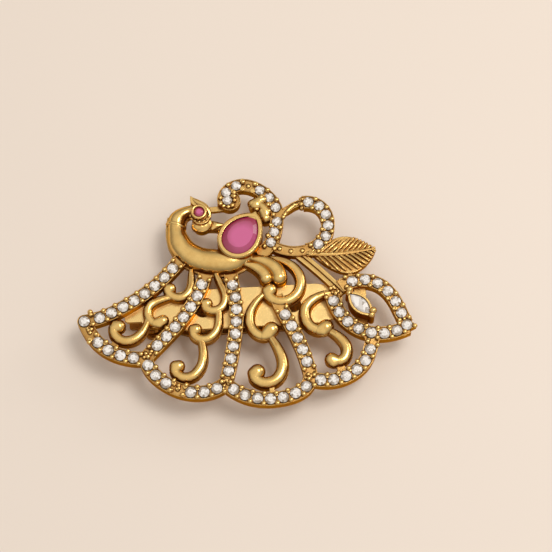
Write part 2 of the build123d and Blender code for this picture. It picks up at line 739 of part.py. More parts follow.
def clip_jaw():
    """Lower leaf: flat, then ramped up to meet the tip of the upper one; two inner ears."""
    rise = PLATE_LOW - TIP_GAP - JAW_T
    rear = CLIP_REACH * JAW[0].along / 100
    front = CLIP_REACH * JAW[-1].along / 100
    low = [(rear, 0), (JAW_FLAT, 0), (JAW_FLAT + JAW_RAMP, rise), (front, rise)]
    high = [(front, rise + JAW_T), (JAW_FLAT + JAW_RAMP - JAW_BEND, rise + JAW_T),
            (JAW_FLAT - JAW_BEND, JAW_T), (rear, JAW_T)]
    profile = Plane.XZ * make_face(Polyline(*low, *high, close=True))
    strip = extrude(profile, amount=PLATE_HALF * 2, both=True)
    face = leaf_outline(JAW, JAW_HALF)
    lobes = [disc(Vector(PIN_X, side * (JAW_HALF + SIDE_LOBE_OUT - SIDE_LOBE_R)), SIDE_LOBE_R) for side in (-1, 1)]
    plan = extrude(joined([face] + lobes), amount=BACK_Z, dir=(0, 0, 1))
    place = EAR_OUT - EAR_T - EAR_GAP - EAR_T / 2
    ears = [ear(side * place, EAR_T, JAW_T / 2) for side in (-1, 1)]
    return in_clip(joined([strip & plan] + ears))


def clip_pin():
    """Pin with a rounded head at each end."""
    span = 2 * (EAR_OUT + EAR_GAP)
    rod = crossways(PIN_D / 2, span + PIN_HEAD_T, PIN_Z)
    solids = [rod]
    for side in (-1, 1):
        head = Cone(PIN_HEAD_R, PIN_HEAD_TIP, PIN_HEAD_T).moved(
            Pos(PIN_X, side * (span + PIN_HEAD_T) / 2, PIN_Z) * Rot(-90 * side, 0, 0))
        solids.append(head)
    return in_clip(joined(solids))


def clip_spring():
    """Coil round the pin, plain, with a leg to each leaf."""
    inner_space = 2 * (EAR_OUT - 2 * EAR_T - EAR_GAP - SPRING_FIT)
    coil = crossways(SPRING_OD / 2, inner_space, PIN_Z)
    coil = coil.cut(crossways(SPRING_OD / 2 - SPRING_WIRE, inner_space * 2, PIN_Z))
    ring = SPRING_OD / 2 - SPRING_WIRE / 2
    far = PIN_X + SPRING_LEG
    side = inner_space / 2 - SPRING_WIRE
    reach = SPRING_FIT + SPRING_WIRE / 2
    upper = Line((PIN_X, side, PIN_Z + ring), (far, side, PLATE_LOW - reach))
    lower = Line((PIN_X, -side, PIN_Z - ring), (far, -side, JAW_T + reach))
    legs = []
    for leg in (upper, lower):
        profile = Plane(origin=leg @ 0, z_dir=leg % 0) * Circle(SPRING_WIRE / 2)
        legs.append(extrude(profile, amount=leg.length))
    return in_clip(joined([coil] + legs))


def polygon(points):
    """Flat face with straight edges."""
    return Face(Wire.make_polygon(points, close=True))


def cut_stone(girdle, table, crown, band_height, pavilion):
    """Faceted stone with a flat table; the top of its girdle is at height zero."""
    count = len(girdle)
    middle = sum(girdle, Vector()) * (1 / count)
    up = Vector(0, 0, 1)
    top = [middle + (point - middle) * table + up * crown for point in girdle]
    low = [point - up * band_height for point in girdle]
    culet = middle - up * (band_height + pavilion)
    faces = [polygon(top)]
    for index in range(count):
        after = (index + 1) % count
        faces.append(polygon([girdle[index], girdle[after], top[after], top[index]]))
        faces.append(polygon([low[index], low[after], girdle[after], girdle[index]]))
        faces.append(polygon([culet, low[after], low[index]]))
    return Solid(Shell(faces))


def round_stone(size):
    """Small round stone."""
    wide = size * STONE_D
    ring = []
    for index in range(ROUND_SIDES):
        turn = math.tau * (index + 0.5) / ROUND_SIDES
        ring.append(Vector(wide / 2 * math.cos(turn), wide / 2 * math.sin(turn)))
    return cut_stone(ring, TABLE_SHARE, CROWN_SHARE * wide, GIRDLE_SHARE * wide, PAVILION_SHARE * wide)


def row_stones(name):
    """The stones of one row, standing free in their seats."""
    girdle_z = BACK_Z + ROW_FLOOR + CULET_GAP + (PAVILION_SHARE + GIRDLE_SHARE) * STONE_D
    stones = []
    for row_name, size, centre, kept in stone_seats():
        if row_name == name and kept:
            stones.append(round_stone(size).moved(Pos(centre.X, centre.Y, girdle_z)))
    return Compound(stones)


def big_stone(shape, count, width, top, place, turn):
    """Large stone in its bezel, its girdle a little under the bezel's top."""
    stone = cut_stone(grown(shape, 0.0, count), BIG_TABLE, BIG_CROWN * width, BIG_GIRDLE * width,
                      BIG_PAVILION * width)
    return placed(stone, place, turn).moved(Pos(0, 0, BACK_Z + top - BIG_SUNK))


def eye_stone():
    """Round stone of the eye."""
    stone = round_stone(EYE_D / STONE_D)
    return placed(stone, EYE_AT, 0).moved(Pos(0, 0, BACK_Z + EYE_TOP - SEAT_GAP))


def casting():
    """All the soldered metal of the ornament with the clip's upper leaf."""
    flat = stone_rows() + [prongs()] + beads() + body_ledge() + head_solids() + link_solids()
    flat += leaf_solids() + stem_solids() + marquise_collet() + [pear_bezel(), clip_plate()]
    arched = [joined(scroll_solids(scroll)) for scroll in SCROLLS]
    arched += [joined(lobe_solids(lobe)) for lobe in LOBES] + [joined(body_arch())]
    metal = joined(flat).fuse(*arched)
    return metal.cut(pear_pocket(), marquise_pocket(), eye_pocket())


def nodes():
    """Every separate piece, by node name."""
    pieces = {
        "casting": casting(),
        "clip_jaw": clip_jaw(),
        "clip_pin": clip_pin(),
        "clip_spring": clip_spring(),
        "ruby_pear": big_stone(pear_shape, PEAR_SIDES, PEAR_W, PEAR_TOP, PEAR_AT, PEAR_TURN),
        "ruby_eye": eye_stone(),
        "marquise_stone": big_stone(marquise_shape, MARQUISE_SIDES, MARQUISE_W, MARQUISE_TOP,
                                    MARQUISE_AT, MARQUISE_TURN),
    }
    for row in ROWS:
        pieces[row.name + "_stones"] = row_stones(row.name)
    return pieces


def main():
    """Build the pin, put the middle of its underside at the origin and save each piece."""
    pieces = nodes()
    box = Compound(list(pieces.values())).bounding_box()
    shift = Vector(-(box.min.X + box.max.X) / 2, -(box.min.Y + box.max.Y) / 2, -box.min.Z)
    os.makedirs("parts", exist_ok=True)
    for name, piece in pieces.items():
        export_step(piece.moved(Pos(shift.X, shift.Y, shift.Z)), "parts/" + name + ".step")
    hinge = in_clip(Sphere(PIN_D).moved(Pos(PIN_X, 0, PIN_Z))).center() + shift
    print("size", round(box.size.X, 2), round(box.size.Y, 2), round(box.size.Z, 2))
    print("shift", round(shift.X, 3), round(shift.Y, 3), round(shift.Z, 3))
    print("hinge", round(hinge.X, 3), round(hinge.Y, 3), round(hinge.Z, 3))


main()
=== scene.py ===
import math
import random
from collections import namedtuple

import bpy
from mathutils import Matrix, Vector


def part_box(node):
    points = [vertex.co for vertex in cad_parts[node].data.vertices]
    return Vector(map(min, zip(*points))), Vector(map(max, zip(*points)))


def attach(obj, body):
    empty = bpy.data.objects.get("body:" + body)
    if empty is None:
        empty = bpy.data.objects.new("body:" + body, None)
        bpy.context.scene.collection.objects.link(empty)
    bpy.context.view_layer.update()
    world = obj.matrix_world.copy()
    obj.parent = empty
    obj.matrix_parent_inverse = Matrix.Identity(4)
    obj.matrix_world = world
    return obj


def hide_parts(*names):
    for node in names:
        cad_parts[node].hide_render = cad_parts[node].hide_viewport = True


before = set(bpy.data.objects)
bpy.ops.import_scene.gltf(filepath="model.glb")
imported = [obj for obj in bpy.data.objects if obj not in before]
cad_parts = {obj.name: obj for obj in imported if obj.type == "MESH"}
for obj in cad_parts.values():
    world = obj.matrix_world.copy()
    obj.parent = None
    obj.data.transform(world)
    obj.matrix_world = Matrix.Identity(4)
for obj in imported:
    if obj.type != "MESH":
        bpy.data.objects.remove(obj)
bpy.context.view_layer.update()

bl_info = {
    "name": "Saree pin",
    "version": (1, 0, 0),
    "blender": (4, 5, 0),
    "location": "View3D > Sidebar > Saree pin",
    "description": "Dresses a stone-set peacock saree pin and its spring clip",
    "category": "Add Mesh",
}

MM = 0.001
ORNAMENT = "ornament"
UP = Vector((0, 0, 1))

# Lengths below are in millimetres, heights are over the casting's back, and places are in
# hundredths of the plan, unless a comment says otherwise.

# The solids' own measures: the plan's size, the shift that put the pin's box on the origin,
# and the height of the casting's back over the floor
PLAN = (55.0, 38.8)
SHIFT = (0.075, 0.055)
BACK = 4.6

# Heights over the floor: between the first two lies the flat metal beside the stones, and
# under the third the casting is the clip's plate
ROW_METAL = (6.0, 6.345)
PLATE_TOP = 4.654

# How finely round forms are divided
Fineness = namedtuple("Fineness", "sides rings")
PRONG_FINE = Fineness(12, 6)
SMALL_FINE = Fineness(12, 8)
MIDDLE_FINE = Fineness(16, 10)
COLLET_FINE = Fineness(20, 12)
LARGE_FINE = Fineness(24, 14)
ROLL_FINE = Fineness(28, 16)

# Round bars: degree of the smooth line, its steps from place to place, and the bar's roundness
ROD_ORDER = 4
ROD_STEPS = 4
ROD_ROUNDNESS = 3

STONE_ROWS = ["spoke_1", "spoke_2", "spoke_3", "spoke_4", "rim_1", "rim_2", "rim_3", "rim_4",
              "frame_lower", "frame_upper", "coil_upper", "coil_lower", "heart"]

# Finding the stones in a row's mesh: how near its lowest height a stone's point lies, and how
# near each other two such points are taken for one stone
CULET_BAND = 0.1
SAME_STONE = 0.5

# Height over the floor from which the casting is felt for
FEEL_FROM = 20

# Round stones, as shares of a stone's radius; the whole depth is a share of its width
STONE_DEPTH = 0.59
STONE_SIDES = 12
GIRDLE = 0.08
CROWN = 0.26
PAVILION = 0.78
TABLE_INSET = 0.24
GIRDLE_UNDER_TOP = 0.30
STONE_TURN = 0.7

# How far up a facet looks: it is sloped between these two, and level beyond the second. Each
# facet's grey is painted reflection and returned light: a sloped facet's is drawn from the first
# greys and any other's from the second.
FACET_UPRIGHT = 0.2
FACET_LEVEL = 0.9
SLOPED_FACET_LIGHT = (1.0, 0.75, 0.45, 0.20, 0.05)
OTHER_FACET_LIGHT = (1.0, 1.0, 1.0, 0.85, 0.50)

# Round prongs: least distance from a stone's middle, height as a share of the radius, and
# distance of their middles under the stones' tops
STONE_ROOM = 1.0
PRONG_TALL = 0.85
PRONG_SUNK = 0.12

# Ring of prongs round the single stone of the coil's curl
CURL_STONE = (-6.3, 40.6)
CURL_PRONGS = 9
CURL_RADIUS = 1.22
CURL_SUNK = 0.25
CURL_SIZE = (0.40, 0.40, 0.36)

# Clumps of beads where rows meet: each bead lies further out than the one before, turned by
# an angle in radians from it
CLUMPS = [(-29.6, -29.9), (-6.0, -40.6), (18.3, -38.4), (47.6, -14.2), (17.0, 39.6),
          (-46.9, -17.2), (-20.5, -43.1), (25.6, 0.4)]
CLUMP_BEADS = 5
CLUMP_TURN = 1.3
CLUMP_STEP = 0.17
CLUMP_HEIGHT = 1.62
CLUMP_ROOM = 1.05
CLUMP_RADII = (0.30, 0.35, 0.40)

# Balls at the loop's shoulder and on the tall collet
SHOULDERS = [(16.2, 41.6), (16.2, 37.9)]
SHOULDER_HEIGHT = 0.95
SHOULDER_SIZE = (0.52, 0.52, 0.52)
COLLET_BALLS = [(37.0, -10.8), (30.2, -1.6)]
COLLET_HEIGHT = 3.45
COLLET_SIZE = (0.60, 0.60, 0.56)

# Rolled ends of the scrolls: where the stem ends and where the ball stands, each with its
# radius; hand is 1 where the scroll turns to the left, else -1
Roll = namedtuple("Roll", "end end_radius ball ball_radius hand")
ROLLS = [
    Roll((-23.7, -0.3), 0.80, (-23.0, 0.9), 0.92, -1),
    Roll((-27.4, -14.5), 0.80, (-25.0, -13.4), 0.98, 1),
    Roll((-39.5, -16.9), 0.89, (-38.0, -15.9), 1.12, -1),
    Roll((-12.6, -7.0), 0.78, (-12.1, -5.8), 0.94, -1),
    Roll((-16.0, -18.4), 0.78, (-15.2, -17.3), 1.00, -1),
    Roll((-21.2, -34.8), 0.89, (-20.1, -33.3), 1.00, -1),
    Roll((4.9, -20.0), 0.92, (7.1, -17.2), 1.30, 1),
    Roll((2.2, -38.0), 1.03, (3.0, -35.7), 1.26, -1),
    Roll((21.2, -17.6), 0.98, (23.2, -16.2), 1.28, 1),
    Roll((26.2, -31.0), 0.96, (24.8, -30.4), 1.14, -1),
    Roll((6.1, -1.6), 0.92, (6.8, 0.4), 1.14, -1),
]

# The rolls' middles lie at one height. The solid's sides are upright to SCROLL_SIDE, and its
# top rises by a share of its radius. The heel is the roll's outer bend.
ROLL_HEIGHT = 1.0
ROLL_PROUD = 0.04
ROLL_TOP_PROUD = 0.06
HEEL_OUT = 0.42
SCROLL_SIDE = 1.15
SCROLL_ROUND = 0.80

# Leaf: midrib, and veins that leave it at an angle in degrees, from a first place given as a
# share of their spacing. The midrib's heading is taken between two near shares of its line.
LEAF_RIB = [(17.6, 16.6), (25.0, 16.0), (31.2, 16.9), (38.2, 18.6)]
LEAF_TOP = 1.20
RIB_HEIGHT = 1.42
RIB_RADII = [0.30, 0.38, 0.35, 0.31, 0.27, 0.22, 0.10]
VEIN_PAIRS = 12
VEIN_FIRST = 0.6
VEIN_ANGLE = 44
HEADING_SHARES = (-0.04, 0.05)

# Each vein is lengthened by steps while the leaf's metal under its tip stays this much over
# LEAF_TOP. Its middle is shifted outwards and its ends pass its reach.
VEIN_SHORTEST = 0.4
VEIN_LONGEST = 4.0
VEIN_STEP = 0.1
VEIN_METAL = 0.2
VEIN_SHIFT = 0.08
VEIN_END = 0.1
VEIN_RISE = 0.14
VEIN_WIDE = 0.25
VEIN_TALL = 0.42

# Stem of two rods side by side
STEM = [(15.2, 16.4), (18.6, 12.3), (21.6, 8.4), (25.0, 3.6), (28.4, -1.2)]
STEM_APART = 0.37
STEM_HEIGHT = 1.02
STEM_RADIUS = 0.34

# Head: crest, beak, chin, cheek and eye
CREST = [(-17.5, 41.4), (-16.2, 39.4), (-14.4, 38.0), (-12.6, 36.0), (-11.5, 33.8),
         (-11.4, 31.6)]
CREST_RADII = [0.06, 0.42, 0.60, 0.58, 0.42, 0.20]
CREST_HEIGHT = 2.62
BEAK = [((-10.8, 30.6), 0.30), ((-9.5, 29.3), 0.55), ((-10.6, 28.0), 0.42),
        ((-7.8, 29.4), 0.34)]
BEAK_HEIGHT = 1.45
BEAK_TALL = 0.8
CHIN_AT = (-14.3, 28.9)
CHIN_FORMS = [(1.15, (1.55, 1.15, 1.05)), (0.5, (1.45, 1.0, 0.5))]
CHEEK = [(-17.2, 32.4), (-16.8, 31.0), (-15.8, 30.0), (-14.6, 29.6), (-13.3, 29.9),
         (-12.3, 30.8), (-11.8, 32.2)]
CHEEK_HEIGHT = 2.72
CHEEK_SIZE = (0.27, 0.27, 0.27)
EYE_AT = (-14.7, 33.4)
EYE_TOP = 3.55
EYE_SUNK = 0.02
EYE_RIM = (1.09, 0.23)
EYE_RIM_SEGMENTS = (40, 12)

# Neck's section where the collar runs: half width, upright side, and the rise of its round
# top as a share of the half width
NECK_HALF = 1.36
NECK_SIDE = 1.45
NECK_ROUND = 0.72

# Collar: a band over the neck, slanted to its right, from one foot to the other
COLLAR_AT = (-21.7, 29.4)
COLLAR_FOOT_HEIGHT = 0.9
COLLAR_FEET = (0.28, -0.36)
COLLAR_PROUD = 0.02
COLLAR_STEPS = 4
COLLAR_SPREAD = 4.2
COLLAR_SUNK = 0.26
COLLAR_SLANT = 0.30
COLLAR_RADIUS = 0.38

# Body's middle line from neck to breast, with its half width, and the lip that runs round
# its outer side
BODY = [(-21.0, 32.8, 1.36), (-21.6, 28.0, 1.36), (-20.4, 20.8, 1.81), (-15.6, 14.6, 2.04),
        (-9.8, 12.9, 2.13), (-4.4, 13.3, 2.06), (-0.6, 15.6, 1.40)]
LIP_RADII = [0.14, 0.28, 0.36, 0.38, 0.38, 0.34, 0.20]
LIP_HEIGHT = 0.62
LIP_OUT = 0.40

# Plain arm of the loop, lobes of the throat and the point of the pear stone's bezel
ARM = [(10.7, 33.7), (11.8, 36.2), (13.4, 38.3), (15.4, 39.4), (17.4, 39.3), (19.2, 38.0),
       (20.7, 35.5)]
ARM_RADII = [0.36, 0.42, 0.44, 0.44, 0.40, 0.34, 0.20]
ARM_HEIGHT = 1.30
THROAT_UPPER = [(1.4, 39.2), (2.8, 40.3), (4.4, 41.0)]
THROAT_UPPER_HEIGHT = 1.25
THROAT_UPPER_SIZE = (0.92, 0.80, 0.98)
THROAT_LOWER = [(2.6, 39.6), (4.4, 38.2), (5.5, 35.8), (5.6, 33.2), (5.0, 31.4)]
THROAT_LOWER_HEIGHT = 1.45
THROAT_RADII = [0.50, 0.82, 0.92, 0.80, 0.40]
BEZEL_POINT = [((2.2, 33.5), 0.16), ((0.4, 31.6), 0.32), ((3.4, 30.0), 0.32)]
BEZEL_HEIGHT = 3.05
BEZEL_TALL = 0.42

# The clip's coil on its pin, whose middle is given from the origin. The coil lies between
# its sides. Its legs run ahead, the first high and the last low, to ends at these heights
# over the floor. The smooth line cuts inside its places, so they stand further out.
CLIP_TURN = math.radians(3.4)
COIL_AT = (-15.897, -3.293, 2.25)
COIL_RING = 0.84
COIL_PLACES_OUT = 1.04
COIL_WIRE = 0.42
COIL_SIDE = 1.21
COIL_TURNS = 5.5
COIL_PLACES = 12
COIL_STEPS = 2
COIL_LEG = 5.0
COIL_LEG_ENDS = (3.64, 1.01)

# Noises: patches to a metre, finer layers, and how strong these are
Noise = namedtuple("Noise", "scale detail roughness")
WORN = Noise(700.0, 4.0, 0.6)
PITTED = Noise(3600.0, 3.0, 0.6)
BRUSHED = Noise(900.0, 3.0, 0.5)
FLOOR_CLOUD = Noise(9.0, 3.0, 0.5)
RUBY_CLOUDS = {"ruby_pear": Noise(330.0, 3.0, 0.55), "ruby_eye": Noise(900.0, 3.0, 0.55)}
SPARK_SCALE = 1500.0

# Ramps: a value between low and high is eased to one between bottom and top
Ramp = namedtuple("Ramp", "low high bottom top")
RECESS = Ramp(0.46, 1.02, 1.0, 0.0)
STEEP = Ramp(0.05, 0.66, 0.85, 0.0)
DULL_PATCHES = Ramp(0.30, 0.72, 0.0, 0.5)
SPARKS = Ramp(0.1, 0.8, 0.25, 1.0)
RUBY_LIT = Ramp(0.70, 1.38, 1.0, 0.0)
RUBY_CROWN = Ramp(0.86, 0.99, 0.5, 1.0)
SKY = Ramp(0.10, 0.95, 0.30, 0.86)

# Amounts that the worn noise makes uneven: the least, and what the noise adds
Uneven = namedtuple("Uneven", "least noise")
# Painted shade on the casting's upright sides
STEEP_SHADE = Uneven(0.72, 0.5)
# Painted shade on the level metal between the stones
ROW_SHADE = Uneven(0.30, 0.6)
GOLD_ROUGHNESS = Uneven(0.12, 0.13)
CLIP_ROUGHNESS = Uneven(0.20, 0.10)

# Fine relief of a metal, and the radius to which its edges are softened
Relief = namedtuple("Relief", "strength depth edge")
GOLD_RELIEF = Relief(0.46, 0.06, 0.13)
CLIP_RELIEF = Relief(0.05, 0.03, 0.10)
WORN_SHARE = 0.6
PITTED_SHARE = 0.4

# Cast metal: how far recesses are looked for, what the worn noise adds there, how level the
# rows' metal is, how fully the patina and painted shade cover, how much less on the plate, and
# their roughness
GOLD_REACH = 1.5
RECESS_NOISE = 0.20
LEVEL = 0.97
PATINA_AND_SHADE_COVER = 0.9
PLATE_COVER_LESS = 0.6
PATINA_ROUGHNESS = 0.20

# The clip's own pieces: how far recesses are looked for, the open shares between which they
# are shaded, the darkest painted shade, and the painted shade of each piece where it lies open
# under the ornament
CLIP_REACH = 1.0
CLIP_OPEN = (0.35, 0.95)
CLIP_DARKEST = 0.95
JAW_SHADE = 0.6
PIN_SHADE = 0.85
SPRING_SHADE = 0.5

# Stones: roughness and how strongly they bend light
Stone = namedtuple("Stone", "roughness ior")
WHITE = Stone(0.05, 2.0)
MARQUISE = Stone(0.08, 2.0)
RUBY = Stone(0.20, 1.77)

# Painted light that comes back through a ruby: it fades to painted shade at the upper left, and
# unevenly
RUBY_LEAN = 0.7
RUBY_LEAN_SHARE = 0.35
RUBY_CLOUD_SHARE = 0.5

FLOOR_MOTTLE = 0.965
FLOOR_ROUGHNESS = 0.6

# Samples that soften recesses and edges
OPEN_SAMPLES = 8
EDGE_SAMPLES = 6

# Stage, in metres and watts; the target of the camera is in millimetres from the origin
FLOOR_SIZE = 3.0
Light = namedtuple("Light", "name place size power colour")
LIGHTS = [
    Light("key", (0.21, 0.07, 0.56), 0.22, 1.40, (1.0, 0.985, 0.96)),
    Light("side", (0.42, 0.20, 0.20), 0.20, 0.30, (1.0, 0.98, 0.95)),
]
SKY_COLOUR = (1.0, 0.975, 0.95, 1)
CAMERA_TARGET = (4.713, 2.372, 6.4)
CAMERA_SENSOR = 36
CAMERA_CLIP = (0.01, 10)


class Value:
    """One output socket in a material, with Python's arithmetic."""

    def __init__(self, paint, socket):
        self.paint = paint
        self.socket = socket

    def __add__(self, other):
        return self.paint.sum("ADD", self, other)

    def __radd__(self, other):
        return self.paint.sum("ADD", other, self)

    def __sub__(self, other):
        return self.paint.sum("SUBTRACT", self, other)

    def __rsub__(self, other):
        return self.paint.sum("SUBTRACT", other, self)

    def __mul__(self, other):
        return self.paint.sum("MULTIPLY", self, other)

    def __truediv__(self, other):
        return self.paint.sum("DIVIDE", self, other)

    def __gt__(self, other):
        return self.paint.sum("GREATER_THAN", self, other)

    def __lt__(self, other):
        return self.paint.sum("LESS_THAN", self, other)


class Paint:
    """A material, with methods that add its nodes."""

    def __init__(self, name):
        self.material = bpy.data.materials.new(name)
        self.material.use_nodes = True
        self.tree = self.material.node_tree
        self.tree.nodes.clear()
        out = self.tree.nodes.new("ShaderNodeOutputMaterial")
        self.shader = self.tree.nodes.new("ShaderNodeBsdfPrincipled")
        self.tree.links.new(self.shader.outputs[0], out.inputs["Surface"])

    def put(self, target, value):
        """Sets a socket to a number or colour, or links a value to it."""
        if isinstance(value, Value):
            self.tree.links.new(value.socket, target)
        elif target.type == "RGBA" and len(value) == 3:
            target.default_value = (*value, 1.0)
        else:
            target.default_value = value

    def node(self, kind, output, inputs, **settings):
        """Adds a node, sets it up, and returns one of its outputs."""
        node = self.tree.nodes.new(kind)
        for key, value in settings.items():
            setattr(node, key, value)
        for key, value in inputs.items():
            self.put(node.inputs[key], value)
        return Value(self, node.outputs[output])

    def sum(self, operation, first, second):
        """A Math node on two numbers or values."""
        return self.node("ShaderNodeMath", 0, {0: first, 1: second}, operation=operation)

    def place(self):
        """Object coordinates."""
        return self.node("ShaderNodeTexCoord", "Object", {})

    def upward(self):
        """How far the surface looks up: 1 where it is level, 0 where it is upright."""
        facing = self.node("ShaderNodeTexCoord", "Normal", {})
        return self.node("ShaderNodeSeparateXYZ", "Z", {0: facing})

    def openness(self, reach):
        """Share of open space within a reach, low in recesses."""
        return self.node("ShaderNodeAmbientOcclusion", "AO", {"Distance": reach * MM},
                         samples=OPEN_SAMPLES)

    def noise(self, place, kind):
        """Soft noise from 0 to 1."""
        return self.node("ShaderNodeTexNoise", "Fac",
                         {"Vector": place, "Scale": kind.scale, "Detail": kind.detail,
                          "Roughness": kind.roughness})

    def attribute(self, name):
        """Grey value that a piece carries on its corners."""
        return self.node("ShaderNodeAttribute", "Fac", {}, attribute_name=name)

    def blend(self, share, first, second):
        """Mix of two colours."""
        node = self.tree.nodes.new("ShaderNodeMix")
        node.data_type = "RGBA"
        self.put(node.inputs[0], share)
        self.put(node.inputs[6], first)
        self.put(node.inputs[7], second)
        return Value(self, node.outputs[2])

    def ease(self, value, ramp):
        """Value eased along a ramp and clamped."""
        return self.node("ShaderNodeMapRange", 0,
                         {0: value, 1: ramp.low, 2: ramp.high, 3: ramp.bottom, 4: ramp.top},
                         interpolation_type="SMOOTHSTEP")

    def surface(self, **sockets):
        """Sets the main shader's sockets, named with underscores for spaces."""
        for key, value in sockets.items():
            self.put(self.shader.inputs[key.replace("_", " ")], value)

    def metal(self, colour, roughness, height, relief, edge_colour):
        """Makes the surface a metal with fine relief and softened edges."""
        bevel = self.node("ShaderNodeBevel", 0, {"Radius": relief.edge * MM},
                          samples=EDGE_SAMPLES)
        bump = self.node("ShaderNodeBump", 0,
                         {"Height": height, "Strength": relief.strength,
                          "Distance": relief.depth * MM, "Normal": bevel})
        self.surface(Base_Color=colour, Metallic=1.0, Roughness=roughness, Normal=bump,
                     Specular_Tint=tuple(edge_colour))

    def stone(self, colour, kind):
        """Makes the surface a polished stone."""
        self.surface(Base_Color=colour, Metallic=0.0, Roughness=kind.roughness, IOR=kind.ior)


def gold_paint(name, pin):
    """Antique gold plating: satin on top, faintly uneven, with brown patina and painted shade in
    the recesses.
    """
    paint = Paint(name)
    place = paint.place()
    worn = paint.noise(place, WORN)
    pitted = paint.noise(place, PITTED)
    height = paint.node("ShaderNodeSeparateXYZ", "Z", {0: place})
    upward = paint.upward()
    in_row = (height > ROW_METAL[0] * MM) * (height < ROW_METAL[1] * MM)
    # Brown patina in the recesses, together with painted shade where the recesses lie in shadow
    recess = paint.ease(paint.openness(GOLD_REACH) + worn * RECESS_NOISE, RECESS)
    # Painted shade on upright sides, which face away from the light
    steep = paint.ease(upward, STEEP) * (STEEP_SHADE.least + worn * STEEP_SHADE.noise)
    # Painted shade on the level metal between the stones, which lies low among the prongs
    row = (upward > LEVEL) * in_row * (ROW_SHADE.least + worn * ROW_SHADE.noise)
    # The brown mask: patina and painted shade in recesses, and painted shade on upright sides and
    # on the level metal between the stones
    patina_and_shade = paint.sum("MAXIMUM", paint.sum("MAXIMUM", recess, steep), row)
    plate = height < PLATE_TOP * MM
    bright = paint.blend(plate, tuple(pin.gold_colour), tuple(pin.clip_colour))
    darker_share = paint.ease(worn, DULL_PATCHES) * (1 - plate)
    tone = paint.blend(darker_share, bright, tuple(pin.gold_deep))
    cover = patina_and_shade * (PATINA_AND_SHADE_COVER - plate * PLATE_COVER_LESS)
    colour = paint.blend(cover, tone, tuple(pin.patina_and_shade_colour))
    satin = GOLD_ROUGHNESS.least + worn * GOLD_ROUGHNESS.noise + patina_and_shade * PATINA_ROUGHNESS
    uneven = worn * WORN_SHARE + pitted * PITTED_SHARE
    paint.metal(colour, satin, uneven, GOLD_RELIEF, pin.edge_colour)
    return paint.material


def clip_paint(name, pin, darker_share):
    """Smooth gold plating of the clip's hidden pieces, with painted shade: darkest in recesses,
    and darker by a share where they lie open.
    """
    paint = Paint(name)
    brushed = paint.noise(paint.place(), BRUSHED)
    # Painted shade: darkest in recesses, and a share of it where the piece lies open in the
    # ornament's shadow
    shade = paint.ease(paint.openness(CLIP_REACH), Ramp(*CLIP_OPEN, CLIP_DARKEST, darker_share))
    colour = paint.blend(shade, tuple(pin.clip_colour), tuple(pin.patina_and_shade_colour))
    satin = CLIP_ROUGHNESS.least + brushed * CLIP_ROUGHNESS.noise
    paint.metal(colour, satin, brushed, CLIP_RELIEF, pin.edge_colour)
    return paint.material


def white_stone_paint(name, pin):
    """Clear white stone, each facet painted with the grey of reflected and returned light that
    its mesh carries.
    """
    paint = Paint(name)
    shade = paint.attribute("facet")
    colour = paint.blend(shade, tuple(pin.white_shade), tuple(pin.white_colour))
    paint.stone(colour, WHITE)
    return paint.material


def marquise_paint(name, pin):
    """Clear white stone with painted glints in small patches."""
    paint = Paint(name)
    cell = paint.node("ShaderNodeTexVoronoi", "Color",
                      {"Vector": paint.place(), "Scale": SPARK_SCALE})
    # Painted glints: bright patches in the base colour
    spark = paint.ease(paint.node("ShaderNodeSeparateColor", 0, {0: cell}), SPARKS)
    colour = paint.blend(spark, tuple(pin.white_shade), tuple(pin.white_colour))
    paint.stone(colour, MARQUISE)
    return paint.material


def ruby_paint(name, pin, centre, reach):
    """Deep pink stone, painted lighter where light comes back through its middle, with painted
    shade to the upper left and on the crown.
    """
    paint = Paint(name)
    place = paint.place()
    cloud = paint.noise(place, RUBY_CLOUDS[name])
    away = paint.node("ShaderNodeVectorMath", "Value", {0: place, 1: centre},
                      operation="DISTANCE")
    lean = paint.node("ShaderNodeVectorMath", "Value",
                      {0: place, 1: Vector((-RUBY_LEAN, RUBY_LEAN, 0))}, operation="DOT_PRODUCT")
    middle = (centre.y - centre.x) * RUBY_LEAN
    fade = away / reach + (lean - middle) / reach * RUBY_LEAN_SHARE + cloud * RUBY_CLOUD_SHARE
    # Painted light in the middle, painted shade towards the upper left and on the sloped crown
    # facets
    lit = paint.ease(fade, RUBY_LIT) * paint.ease(paint.upward(), RUBY_CROWN)
    colour = paint.blend(lit, tuple(pin.ruby_deep), tuple(pin.ruby_colour))
    paint.stone(colour, RUBY)
    return paint.material


def floor_paint(name, looks):
    """Matte pale surface with very faint mottling."""
    paint = Paint(name)
    cloud = paint.noise(paint.place(), FLOOR_CLOUD)
    light = tuple(looks.floor_colour)
    dark = tuple(channel * FLOOR_MOTTLE for channel in light)
    paint.surface(Base_Color=paint.blend(cloud, light, dark), Roughness=FLOOR_ROUGHNESS)
    return paint.material


def repaint(node, paint):
    """Gives a CAD node's object a material."""
    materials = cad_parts[node].data.materials
    materials.clear()
    materials.append(paint)


def nothing_selected():
    """Leaves edit mode and deselects everything."""
    if bpy.context.object and bpy.context.object.mode != "OBJECT":
        bpy.ops.object.mode_set(mode="OBJECT")
    bpy.ops.object.select_all(action="DESELECT")


def only(piece):
    """Makes one object selected and active."""
    nothing_selected()
    piece.select_set(True)
    bpy.context.view_layer.objects.active = piece


def pick_faces(piece, test):
    """Selects, in edit mode, the faces that pass a test."""
    bpy.ops.mesh.select_all(action="DESELECT")
    bpy.ops.mesh.select_mode(type="FACE")
    bpy.ops.object.mode_set(mode="OBJECT")
    for face in piece.data.polygons:
        face.select = test(face)
    bpy.ops.object.mode_set(mode="EDIT")


